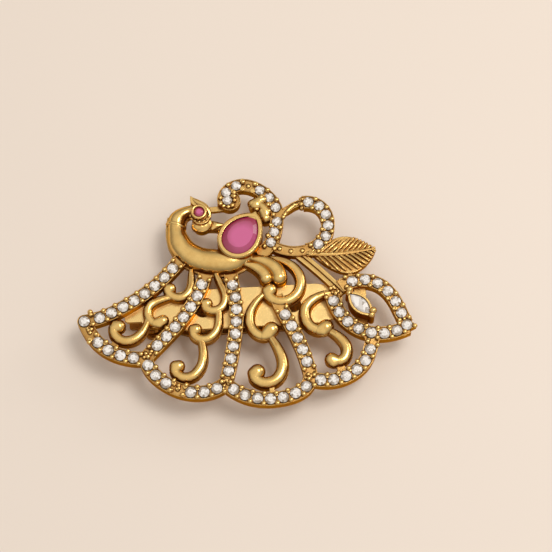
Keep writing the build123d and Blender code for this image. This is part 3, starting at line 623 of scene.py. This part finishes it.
def settle(piece, name, paint, body=ORNAMENT, replaced=()):
    """Applies the piece's place, names and paints it, and lets it ride its body."""
    only(piece)
    bpy.ops.object.transform_apply(location=True, rotation=True, scale=True)
    piece.name = name
    piece.data.name = name
    piece.data.materials.clear()
    piece.data.materials.append(paint)
    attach(piece, body)
    if replaced:
        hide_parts(*replaced)


def joined(pieces):
    """Joins objects into the first one."""
    nothing_selected()
    for piece in pieces:
        piece.select_set(True)
    bpy.context.view_layer.objects.active = pieces[0]
    bpy.ops.object.join()
    return pieces[0]


def copies(piece, places):
    """Copies of a piece, each with its own mesh, at places; the first is the piece itself."""
    made = [piece]
    for _ in places[1:]:
        only(piece)
        bpy.ops.object.duplicate(linked=False)
        made.append(bpy.context.object)
    for one, place in zip(made, places):
        one.location = place
    return made


def at(place, height=0.0):
    """Point for a place in hundredths of the plan, at a height over the casting's back."""
    x = PLAN[0] * place[0] / 100 + SHIFT[0]
    y = PLAN[1] * place[1] / 100 + SHIFT[1]
    return Vector((x, y, BACK + height)) * MM


def along(places, share):
    """Point at a share of a line of places, counted by its places."""
    where = share * (len(places) - 1)
    index = min(int(where), len(places) - 2)
    return at(places[index]).lerp(at(places[index + 1]), where - index)


def level_way(angle):
    """Level direction at an angle from +X."""
    return Vector((math.cos(angle), math.sin(angle), 0))


def left_of(way):
    """Level direction a quarter turn to the left of another."""
    return Vector((-way.y, way.x, 0))


def ball(centre, size, fineness):
    """Round form, with its half sizes in millimetres."""
    nothing_selected()
    bpy.ops.mesh.primitive_uv_sphere_add(segments=fineness.sides, ring_count=fineness.rings,
                                         radius=MM, location=centre, scale=size)
    bpy.ops.object.shade_smooth()
    return bpy.context.object


def outward_and_smooth():
    """Turns the active mesh's normals outwards and shades it smooth."""
    bpy.ops.mesh.normals_make_consistent(inside=False)
    bpy.ops.object.mode_set(mode="OBJECT")
    bpy.ops.object.shade_smooth()


def skinned(balls):
    """One smooth skin stretched round several balls."""
    whole = joined(balls)
    bpy.ops.object.mode_set(mode="EDIT")
    bpy.ops.mesh.select_all(action="SELECT")
    bpy.ops.mesh.convex_hull()
    outward_and_smooth()
    return whole


def rod(places, radii, steps=ROD_STEPS):
    """Round bar along a smooth line, as thick at each place as radii says."""
    nothing_selected()
    bpy.ops.curve.primitive_nurbs_path_add(location=(0, 0, 0))
    line = bpy.context.object
    line.data.splines.clear()
    spline = line.data.splines.new("NURBS")
    spline.points.add(len(places) - 1)
    for point, place, radius in zip(spline.points, places, radii):
        point.co = (*place, 1)
        point.radius = radius
    spline.order_u = ROD_ORDER
    spline.use_endpoint_u = True
    spline.resolution_u = steps
    line.data.bevel_depth = MM
    line.data.bevel_resolution = ROD_ROUNDNESS
    line.data.use_fill_caps = True
    bpy.ops.object.convert(target="MESH")
    bpy.ops.object.mode_set(mode="EDIT")
    bpy.ops.mesh.select_all(action="SELECT")
    outward_and_smooth()
    return bpy.context.object


def stone_centres(node):
    """Centres of a row's stones, in order along the row: the lowest point of each stone."""
    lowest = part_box(node)[0].z
    centres = []
    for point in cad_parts[node].data.vertices:
        if point.co.z < lowest + CULET_BAND * MM:
            flat = Vector((point.co.x, point.co.y, 0))
            if apart(flat, centres, SAME_STONE * MM):
                centres.append(flat)
    return centres


def apart(place, others, room):
    """Whether a place keeps its distance from all the others, seen from above."""
    return all((place.xy - other.xy).length > room for other in others)


def on_metal(place, level):
    """Whether the casting's metal reaches a level under a place."""
    above = Vector((place.x, place.y, FEEL_FROM * MM))
    hit, point, *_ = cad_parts["casting"].ray_cast(above, -UP)
    return hit and point.z > level


def paint_facet_light(piece, seed):
    """Gives every facet of a stone mesh its own grey of painted reflection and returned light, in
    the attribute that the paint reads.
    """
    chance = random.Random(seed)
    greys = piece.data.attributes.new("facet", "FLOAT_COLOR", "CORNER")
    for face in piece.data.polygons:
        sloped = FACET_UPRIGHT < face.normal.z < FACET_LEVEL
        grey = chance.choice(SLOPED_FACET_LIGHT if sloped else OTHER_FACET_LIGHT)
        for corner in face.loop_indices:
            greys.data[corner].color = (grey, grey, grey, 1.0)


def between_stones(centres):
    """Middle and direction of each gap between neighbours, two gaps where a stone is lost."""
    gaps = []
    pitch = min((b - a).length for a, b in zip(centres, centres[1:]))
    for a, b in zip(centres, centres[1:]):
        spans = max(1, round((b - a).length / pitch))
        for index in range(spans):
            gaps.append((a.lerp(b, (index + 0.5) / spans), (b - a).normalized()))
    first = (centres[0] - centres[1]).normalized()
    last = (centres[-1] - centres[-2]).normalized()
    gaps.append((centres[0] + first * pitch / 2, first))
    gaps.append((centres[-1] + last * pitch / 2, last))
    return gaps


class PinLooks(bpy.types.PropertyGroup):
    """Sizes and colours of the pin's finish."""

    bead_radius: bpy.props.FloatProperty(
        name="Bead radius", description="Radius of the round prongs beside the stones",
        default=0.41 * MM, subtype="DISTANCE", unit="LENGTH")
    bead_out: bpy.props.FloatProperty(
        name="Bead offset", description="Distance of the round prongs from the row's middle line",
        default=0.85 * MM, subtype="DISTANCE", unit="LENGTH")
    table_share: bpy.props.FloatProperty(
        name="Table share",
        description="Width of a round stone's flat top as a share of the stone",
        default=0.56, min=0.3, max=0.8)
    gold_colour: bpy.props.FloatVectorProperty(
        name="Gold", description="Colour of the cast metal", subtype="COLOR", size=3, min=0,
        max=1, default=(0.86, 0.57, 0.20))
    gold_deep: bpy.props.FloatVectorProperty(
        name="Deep gold", description="Colour of the duller patches of the cast metal",
        subtype="COLOR", size=3, min=0, max=1, default=(0.68, 0.38, 0.10))
    # Brown of the patina in the recesses and of all the painted shade on the casting and the clip
    patina_and_shade_colour: bpy.props.FloatVectorProperty(
        name="Patina", description="Brown in the recesses of the cast metal", subtype="COLOR",
        size=3, min=0, max=1, default=(0.26, 0.096, 0.014))
    edge_colour: bpy.props.FloatVectorProperty(
        name="Gold edge", description="Colour of the metal where it is seen at a low angle",
        subtype="COLOR", size=3, min=0, max=1, default=(0.80, 0.50, 0.17))
    clip_colour: bpy.props.FloatVectorProperty(
        name="Clip gold", description="Colour of the clip's smooth leaves", subtype="COLOR",
        size=3, min=0, max=1, default=(0.93, 0.64, 0.25))
    # The white stones' facets are painted between these two: bright painted reflection, and dark
    # facets that send little light back
    white_colour: bpy.props.FloatVectorProperty(
        name="White stone", description="Colour of the white stones' bright facets",
        subtype="COLOR", size=3, min=0, max=1, default=(0.87, 0.82, 0.76))
    white_shade: bpy.props.FloatVectorProperty(
        name="White stone, dark facets",
        description="Colour of the facets that send little light back", subtype="COLOR",
        size=3, min=0, max=1, default=(0.27, 0.20, 0.13))
    # The rubies are painted between these two: the colour where light comes back, and the colour
    # of painted shade
    ruby_colour: bpy.props.FloatVectorProperty(
        name="Ruby", description="Colour of the pink stones where light comes back",
        subtype="COLOR", size=3, min=0, max=1, default=(0.56, 0.085, 0.235))
    ruby_deep: bpy.props.FloatVectorProperty(
        name="Deep ruby", description="Colour of the darker patches of the pink stones",
        subtype="COLOR", size=3, min=0, max=1, default=(0.31, 0.016, 0.058))


class StageLooks(bpy.types.PropertyGroup):
    """The floor and the camera."""

    floor_colour: bpy.props.FloatVectorProperty(
        name="Floor", description="Colour of the pale floor", subtype="COLOR", size=3, min=0,
        max=1, default=(0.80, 0.69, 0.59))
    camera_distance: bpy.props.FloatProperty(
        name="Camera distance",
        description="Distance from the camera to the place that it looks at",
        default=302.1 * MM, subtype="DISTANCE", unit="LENGTH")
    camera_height: bpy.props.FloatProperty(
        name="Camera angle", description="Angle of the camera's view above the floor",
        default=math.radians(70), subtype="ANGLE", unit="ROTATION")
    camera_lens: bpy.props.FloatProperty(
        name="Lens", description="Focal length in millimetres", default=120.26, min=10, max=500)


def studio_world():
    """Soft light that is brightest overhead."""
    world = bpy.data.worlds.new("studio")
    world.use_nodes = True
    nodes = world.node_tree.nodes
    links = world.node_tree.links
    background = nodes["Background"]
    background.inputs["Color"].default_value = SKY_COLOUR
    way = nodes.new("ShaderNodeTexCoord")
    parts = nodes.new("ShaderNodeSeparateXYZ")
    climb = nodes.new("ShaderNodeMapRange")
    climb.interpolation_type = "SMOOTHSTEP"
    for socket, value in enumerate(SKY, start=1):
        climb.inputs[socket].default_value = value
    links.new(way.outputs["Generated"], parts.inputs[0])
    links.new(parts.outputs["Z"], climb.inputs[0])
    links.new(climb.outputs[0], background.inputs["Strength"])
    return world


class PIN_OT_stage(bpy.types.Operator):
    """Adds the floor, the lights and the camera"""
    bl_idname = "saree_pin.stage"
    bl_label = "Stage"

    def execute(self, context):
        looks = context.scene.saree_pin_stage
        nothing_selected()
        bpy.ops.mesh.primitive_plane_add(size=FLOOR_SIZE, location=(0, 0, 0))
        floor = context.object
        floor.name = "floor"
        floor.data.materials.append(floor_paint("floor", looks))
        for lamp in LIGHTS:
            bpy.ops.object.light_add(type="AREA", location=lamp.place)
            light = context.object
            light.name = lamp.name
            light.data.shape = "SQUARE"
            light.data.size = lamp.size
            light.data.energy = lamp.power
            light.data.color = lamp.colour
            light.rotation_euler = (-light.location).to_track_quat("-Z", "Y").to_euler()
        context.scene.world = studio_world()
        back = Vector((0, -math.cos(looks.camera_height), math.sin(looks.camera_height)))
        place = Vector(CAMERA_TARGET) * MM + back * looks.camera_distance
        bpy.ops.object.camera_add(location=place)
        camera = context.object
        camera.rotation_euler = (-back).to_track_quat("-Z", "Y").to_euler()
        camera.data.lens = looks.camera_lens
        camera.data.sensor_width = CAMERA_SENSOR
        camera.data.clip_start, camera.data.clip_end = CAMERA_CLIP
        context.scene.camera = camera
        context.scene.view_settings.view_transform = "Standard"
        return {"FINISHED"}


class PIN_OT_metal(bpy.types.Operator):
    """Gives the casting and the clip their metal"""
    bl_idname = "saree_pin.metal"
    bl_label = "Metal"

    def execute(self, context):
        looks = context.scene.saree_pin
        repaint("casting", gold_paint("antique_gold", looks))
        repaint("clip_jaw", clip_paint("clip_gold", looks, JAW_SHADE))
        repaint("clip_pin", clip_paint("pin_gold", looks, PIN_SHADE))
        return {"FINISHED"}


class PIN_OT_beads(bpy.types.Operator):
    """Adds the round prongs beside the stones"""
    bl_idname = "saree_pin.beads"
    bl_label = "Round prongs"

    def execute(self, context):
        looks = context.scene.saree_pin
        paint = gold_paint("bead_gold", looks)
        rows = {name: stone_centres(name + "_stones") for name in STONE_ROWS}
        stones = [centre for centres in rows.values() for centre in centres]
        taken = []
        for name, centres in rows.items():
            places = self.prong_places(name, centres, stones, taken, looks)
            radius = looks.bead_radius / MM
            prong = ball(places[0], (radius, radius, PRONG_TALL * radius), PRONG_FINE)
            settle(joined(copies(prong, places)), name + "_beads", paint)
        loose = self.curl_prongs(stones) + self.clump_beads(stones)
        loose += [ball(at(place, SHOULDER_HEIGHT), SHOULDER_SIZE, SMALL_FINE)
                  for place in SHOULDERS]
        loose += [ball(at(place, COLLET_HEIGHT), COLLET_SIZE, COLLET_FINE)
                  for place in COLLET_BALLS]
        settle(joined(loose), "junction_beads", paint)
        return {"FINISHED"}

    def prong_places(self, name, centres, stones, taken, looks):
        """Places on both sides of a row's gaps that are free and have metal under them."""
        low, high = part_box(name + "_stones")
        places = []
        for middle, heading in between_stones(centres):
            across = left_of(heading) * looks.bead_out
            for place in (middle + across, middle - across):
                free = (apart(place, stones, STONE_ROOM * MM)
                        and apart(place, taken, looks.bead_radius))
                if free and on_metal(place, low.z):
                    places.append(place + UP * (high.z - PRONG_SUNK * MM))
                    taken.append(place)
        return places

    def curl_prongs(self, stones):
        """Ring of prongs round the single stone of the coil's curl."""
        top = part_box("coil_upper_stones")[1].z
        prongs = []
        for index in range(CURL_PRONGS):
            turn = level_way(index * math.tau / CURL_PRONGS)
            place = at(CURL_STONE) + turn * CURL_RADIUS * MM
            if apart(place, stones, STONE_ROOM * MM) and on_metal(place, BACK * MM):
                place.z = top - CURL_SUNK * MM
                prongs.append(ball(place, CURL_SIZE, PRONG_FINE))
        return prongs

    def clump_beads(self, stones):
        """Beads that wind outwards from the places where rows meet."""
        beads = []
        for clump in CLUMPS:
            for index in range(CLUMP_BEADS):
                turn = level_way(index * CLUMP_TURN + clump[0])
                place = at(clump, CLUMP_HEIGHT) + turn * CLUMP_STEP * (1 + index) * MM
                if apart(place, stones, CLUMP_ROOM * MM) and on_metal(place, BACK * MM):
                    radius = CLUMP_RADII[index % len(CLUMP_RADII)]
                    beads.append(ball(place, (radius, radius, radius), PRONG_FINE))
        return beads


class PIN_OT_scroll_ends(bpy.types.Operator):
    """Rounds the rolled ends of the scrolls into smooth balls"""
    bl_idname = "saree_pin.scroll_ends"
    bl_label = "Scroll ends"

    def execute(self, context):
        paint = gold_paint("scroll_gold", context.scene.saree_pin)
        ends = []
        for roll in ROLLS:
            first = at(roll.end, ROLL_HEIGHT)
            last = at(roll.ball, ROLL_HEIGHT)
            outward = -left_of((last - first).normalized()) * roll.hand
            heel = (first + last) / 2 + outward * HEEL_OUT * MM
            forms = []
            for centre, radius in ((first, roll.end_radius), (heel, roll.end_radius),
                                   (last, roll.ball_radius)):
                wide = radius + ROLL_PROUD
                tall = SCROLL_SIDE + SCROLL_ROUND * radius + ROLL_TOP_PROUD - ROLL_HEIGHT
                forms.append(ball(centre, (wide, wide, tall), ROLL_FINE))
            ends.append(skinned(forms))
        settle(joined(ends), "scroll_balls", paint)
        return {"FINISHED"}


class PIN_OT_leaf(bpy.types.Operator):
    """Adds the leaf's rounded veins and midrib and the two rods of its stem"""
    bl_idname = "saree_pin.leaf"
    bl_label = "Leaf and stem"

    def execute(self, context):
        paint = gold_paint("leaf_gold", context.scene.saree_pin)
        veins = []
        for index in range(VEIN_PAIRS):
            share = (index + VEIN_FIRST) / VEIN_PAIRS
            foot = along(LEAF_RIB, share)
            behind = along(LEAF_RIB, share + HEADING_SHARES[0])
            ahead = along(LEAF_RIB, min(1.0, share + HEADING_SHARES[1]))
            heading = (ahead - behind).normalized()
            for turn in (VEIN_ANGLE, -VEIN_ANGLE):
                angle = math.atan2(heading.y, heading.x) + math.radians(turn)
                veins.append(self.vein(foot, angle))
        last = len(RIB_RADII) - 1
        rib = [along(LEAF_RIB, index / last) + UP * (RIB_HEIGHT * MM)
               for index in range(last + 1)]
        veins.append(rod(rib, RIB_RADII))
        settle(joined(veins), "leaf_veins", paint)
        settle(joined([self.stem_rod(side) for side in (-1, 1)]), "stem_rods", paint)
        return {"FINISHED"}

    def vein(self, foot, angle):
        """Vein from its foot on the midrib to where the leaf's metal ends."""
        way = level_way(angle)
        metal = (BACK + LEAF_TOP + VEIN_METAL) * MM
        reach = VEIN_SHORTEST
        while reach < VEIN_LONGEST and on_metal(foot + way * (reach + VEIN_STEP) * MM, metal):
            reach += VEIN_STEP
        middle = foot + way * (reach / 2 + VEIN_SHIFT) * MM
        middle.z = (BACK + LEAF_TOP + VEIN_RISE) * MM
        vein = ball(middle, (reach / 2 + VEIN_END, VEIN_WIDE, VEIN_TALL), SMALL_FINE)
        vein.rotation_euler = (0, 0, angle)
        return vein

    def stem_rod(self, side):
        """One of the stem's two rods: side is 1 for the left one and -1 for the right one."""
        line = []
        for first, after in zip(STEM, STEM[1:]):
            heading = (at(after) - at(first)).normalized()
            across = left_of(heading) * side * STEM_APART * MM
            line.append(at(first, STEM_HEIGHT) + across)
        line.append(at(STEM[-1], STEM_HEIGHT) + across)
        return rod(line, [STEM_RADIUS] * len(line))


class PIN_OT_head(bpy.types.Operator):
    """Shapes the head: crest, beak, chin, cheek beads, eye rim, and the neck's collar"""
    bl_idname = "saree_pin.head"
    bl_label = "Head and collar"

    def execute(self, context):
        paint = gold_paint("head_gold", context.scene.saree_pin)
        crest = rod([at(place, CREST_HEIGHT) for place in CREST], CREST_RADII)
        settle(crest, "crest_cap", paint)
        beak = [ball(at(place, BEAK_HEIGHT), (size, size, BEAK_TALL * size), MIDDLE_FINE)
                for place, size in BEAK]
        settle(skinned(beak), "beak_blade", paint)
        chin = [ball(at(CHIN_AT, height), size, LARGE_FINE) for height, size in CHIN_FORMS]
        settle(skinned(chin), "chin", paint)
        cheek = [ball(at(place, CHEEK_HEIGHT), CHEEK_SIZE, SMALL_FINE) for place in CHEEK]
        settle(joined(cheek), "cheek_beads", paint)
        nothing_selected()
        bpy.ops.mesh.primitive_torus_add(
            major_radius=EYE_RIM[0] * MM, minor_radius=EYE_RIM[1] * MM,
            major_segments=EYE_RIM_SEGMENTS[0], minor_segments=EYE_RIM_SEGMENTS[1],
            location=at(EYE_AT, EYE_TOP - EYE_SUNK))
        bpy.ops.object.shade_smooth()
        settle(context.object, "eye_rim", paint)
        band = self.collar_band()
        settle(rod(band, [COLLAR_RADIUS] * len(band)), "neck_collar", paint)
        return {"FINISHED"}

    def collar_band(self):
        """Places of the collar, from its left foot over the neck to its right foot."""
        rise = NECK_ROUND * NECK_HALF
        arch = (NECK_HALF ** 2 + rise ** 2) / (2 * rise)
        foot = at(COLLAR_AT, COLLAR_FOOT_HEIGHT)
        out = NECK_HALF + COLLAR_PROUD
        band = [foot + Vector((-out, COLLAR_FEET[0], 0)) * MM]
        for index in range(-COLLAR_STEPS, COLLAR_STEPS + 1):
            side = NECK_HALF * index / COLLAR_SPREAD
            height = NECK_SIDE + rise - arch + math.sqrt(arch ** 2 - side ** 2)
            band.append(at(COLLAR_AT, height - COLLAR_SUNK)
                        + Vector((side, -side * COLLAR_SLANT, 0)) * MM)
        band.append(foot + Vector((out, COLLAR_FEET[1], 0)) * MM)
        return band


class PIN_OT_lobes(bpy.types.Operator):
    """Adds the body's lip, the throat's lobes, the loop's plain arm and the bezel's point"""
    bl_idname = "saree_pin.lobes"
    bl_label = "Lip, lobes and arm"

    def execute(self, context):
        paint = gold_paint("lobe_gold", context.scene.saree_pin)
        lip = []
        for index, (x, y, half) in enumerate(BODY):
            before = at(BODY[max(0, index - 1)])
            after = at(BODY[min(len(BODY) - 1, index + 1)])
            outward = -left_of((after - before).normalized())
            lip.append(at((x, y), LIP_HEIGHT) + outward * (half + LIP_OUT) * MM)
        settle(rod(lip, LIP_RADII), "body_lip", paint)
        arm = [at(place, ARM_HEIGHT) for place in ARM]
        settle(rod(arm, ARM_RADII), "loop_arm", paint)
        upper = skinned([ball(at(place, THROAT_UPPER_HEIGHT), THROAT_UPPER_SIZE, LARGE_FINE)
                         for place in THROAT_UPPER])
        lower = rod([at(place, THROAT_LOWER_HEIGHT) for place in THROAT_LOWER], THROAT_RADII)
        settle(joined([upper, lower]), "throat_lobes", paint)
        point = [ball(at(place, BEZEL_HEIGHT), (size, size, BEZEL_TALL), MIDDLE_FINE)
                 for place, size in BEZEL_POINT]
        settle(skinned(point), "bezel_point", paint)
        return {"FINISHED"}


class PIN_OT_spring(bpy.types.Operator):
    """Winds the clip's spring on its pin"""
    bl_idname = "saree_pin.spring"
    bl_label = "Clip spring"

    def execute(self, context):
        paint = clip_paint("spring_metal", context.scene.saree_pin, SPRING_SHADE)
        middle = Vector(COIL_AT)
        ahead = level_way(CLIP_TURN)
        across = left_of(ahead) * COIL_SIDE
        leg = ahead * COIL_LEG
        first_rise, last_rise = (end - COIL_AT[2] for end in COIL_LEG_ENDS)
        line = [middle + leg + across + UP * first_rise,
                middle + leg / 2 + across + UP * (COIL_RING + first_rise) / 2]
        steps = round(COIL_TURNS * COIL_PLACES)
        for step in range(steps + 1):
            angle = math.pi / 2 + math.tau * COIL_TURNS * step / steps
            ring = ahead * math.cos(angle) + UP * math.sin(angle)
            line.append(middle + ring * COIL_RING * COIL_PLACES_OUT
                        + across * (1 - 2 * step / steps))
        line.append(middle + leg / 2 - across + UP * (-COIL_RING + last_rise) / 2)
        line.append(middle + leg - across + UP * last_rise)
        wire = rod([point * MM for point in line], [COIL_WIRE / 2] * len(line), COIL_STEPS)
        settle(wire, "spring_coil", paint, replaced=("clip_spring",))
        return {"FINISHED"}


class PIN_OT_white_stones(bpy.types.Operator):
    """Cuts the round white stones and paints the long one"""
    bl_idname = "saree_pin.white_stones"
    bl_label = "White stones"

    def execute(self, context):
        looks = context.scene.saree_pin
        paint = white_stone_paint("white_stone", looks)
        for seed, name in enumerate(STONE_ROWS):
            node = name + "_stones"
            low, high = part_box(node)
            radius = (high.z - low.z) / STONE_DEPTH / 2
            girdle = UP * (high.z - GIRDLE_UNDER_TOP * radius)
            places = [centre + girdle for centre in stone_centres(node)]
            made = copies(self.cut_stone(radius, looks.table_share), places)
            for index, one in enumerate(made):
                one.rotation_euler = (0, 0, STONE_TURN * index)
            row = joined(made)
            paint_facet_light(row, seed)
            settle(row, name + "_cut", paint, replaced=(node,))
        repaint("marquise_stone", marquise_paint("marquise", looks))
        return {"FINISHED"}

    def cut_stone(self, radius, table_share):
        """One round stone: a girdle, a crown with its table, and a pointed pavilion."""
        nothing_selected()
        bpy.ops.mesh.primitive_cylinder_add(vertices=STONE_SIDES, radius=radius,
                                            depth=GIRDLE * radius, location=(0, 0, 0))
        stone = bpy.context.object
        bpy.ops.object.mode_set(mode="EDIT")
        pick_faces(stone, lambda face: face.normal.z > FACET_LEVEL)
        bpy.ops.mesh.extrude_region_move(
            TRANSFORM_OT_translate={"value": (0, 0, CROWN * radius)})
        bpy.ops.transform.resize(value=(table_share, table_share, 1))
        bpy.ops.mesh.inset(thickness=TABLE_INSET * radius)
        bpy.ops.mesh.poke()
        pick_faces(stone, lambda face: face.normal.z < -FACET_LEVEL)
        bpy.ops.mesh.extrude_region_move(
            TRANSFORM_OT_translate={"value": (0, 0, -PAVILION * radius)})
        bpy.ops.mesh.merge(type="CENTER")
        bpy.ops.object.mode_set(mode="OBJECT")
        return stone


class PIN_OT_rubies(bpy.types.Operator):
    """Paints the two pink stones"""
    bl_idname = "saree_pin.rubies"
    bl_label = "Rubies"

    def execute(self, context):
        looks = context.scene.saree_pin
        for name in RUBY_CLOUDS:
            low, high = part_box(name)
            middle = (low + high) / 2
            centre = Vector((middle.x, middle.y, high.z))
            repaint(name, ruby_paint(name, looks, centre, (high.x - low.x) / 2))
        return {"FINISHED"}


class PIN_PT_panel(bpy.types.Panel):
    """Lists the pin's settings and pieces"""
    bl_idname = "PIN_PT_panel"
    bl_label = "Saree pin"
    bl_space_type = "VIEW_3D"
    bl_region_type = "UI"
    bl_category = "Saree pin"

    def draw(self, context):
        for group in (context.scene.saree_pin, context.scene.saree_pin_stage):
            box = self.layout.box()
            for key in group.bl_rna.properties.keys():
                if key not in ("rna_type", "name"):
                    box.prop(group, key)
        for operator in OPERATORS:
            self.layout.operator(operator.bl_idname)


OPERATORS = [PIN_OT_stage, PIN_OT_metal, PIN_OT_spring, PIN_OT_scroll_ends, PIN_OT_leaf,
             PIN_OT_head, PIN_OT_lobes, PIN_OT_beads, PIN_OT_white_stones, PIN_OT_rubies]
CLASSES = [PinLooks, StageLooks] + OPERATORS + [PIN_PT_panel]


def register():
    for one in CLASSES:
        bpy.utils.register_class(one)
    bpy.types.Scene.saree_pin = bpy.props.PointerProperty(type=PinLooks)
    bpy.types.Scene.saree_pin_stage = bpy.props.PointerProperty(type=StageLooks)


def unregister():
    del bpy.types.Scene.saree_pin_stage
    del bpy.types.Scene.saree_pin
    for one in reversed(CLASSES):
        bpy.utils.unregister_class(one)


def main():
    register()
    bpy.ops.saree_pin.stage()
    bpy.ops.saree_pin.metal()
    bpy.ops.saree_pin.spring()
    bpy.ops.saree_pin.scroll_ends()
    bpy.ops.saree_pin.leaf()
    bpy.ops.saree_pin.head()
    bpy.ops.saree_pin.lobes()
    bpy.ops.saree_pin.beads()
    bpy.ops.saree_pin.white_stones()
    bpy.ops.saree_pin.rubies()
    bpy.context.view_layer.update()


if __name__ == "__main__":
    main()
